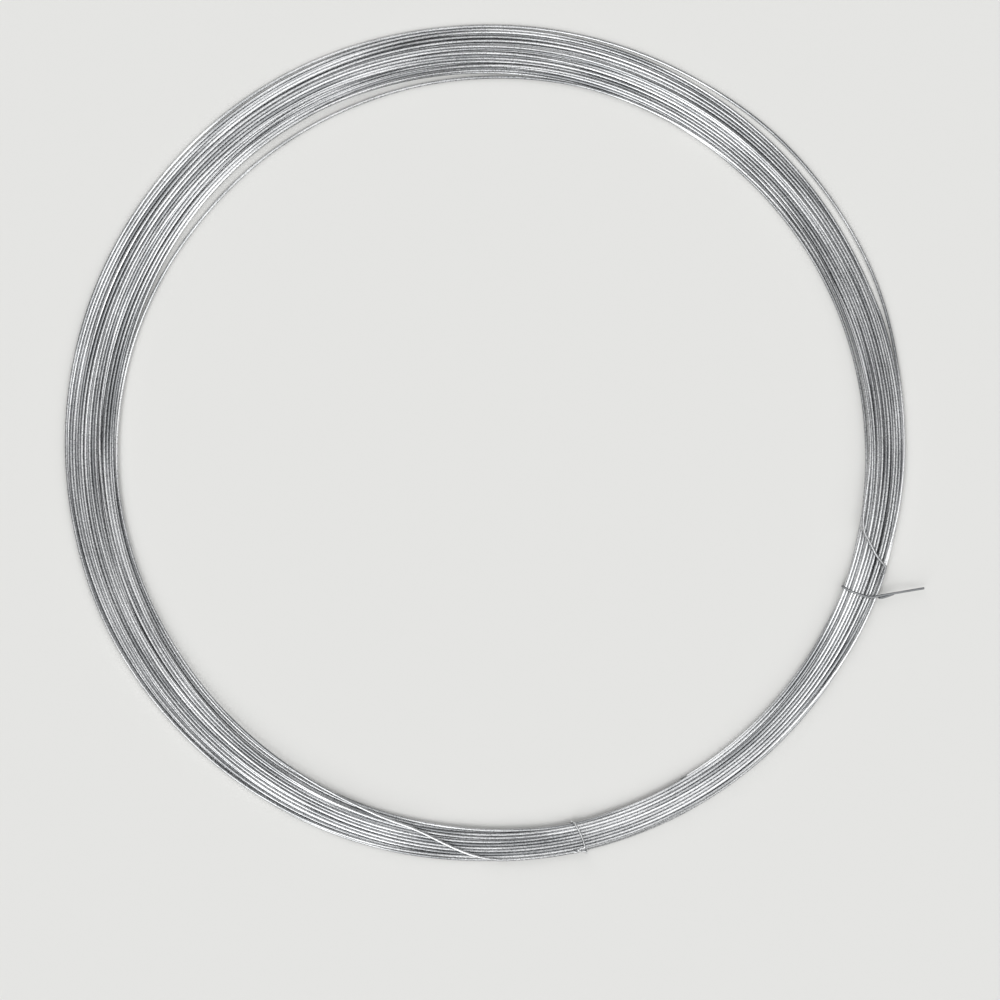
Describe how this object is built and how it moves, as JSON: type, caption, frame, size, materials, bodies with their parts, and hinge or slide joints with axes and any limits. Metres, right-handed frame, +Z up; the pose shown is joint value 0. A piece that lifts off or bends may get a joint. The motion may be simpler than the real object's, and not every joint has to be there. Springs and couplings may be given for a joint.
{
  "type": "coil of lacing wire",
  "caption": "Flat-lying coil of galvanised steel lacing wire round a wide open bore, bound by short wire ties, one with a free tail.",
  "frame": {"origin": "on the axis of the coil's bore, at the floor that the coil lies on", "axes": "+Z up along the bore's axis; -Y towards the short tie; +X towards the side where the tie with the tail is"},
  "size_m": [0.6129, 0.6, 0.0101],
  "materials": {
    "galvanised_wire": "bright zinc coat, slightly grainy",
    "tie_wire": "zinc coat, a little duller than the coil"
  },
  "bodies": {
    "root": {"wire_coil": "galvanised_wire", "short_tie": "tie_wire", "tailed_tie": "tie_wire"}
  },
  "joints": []
}
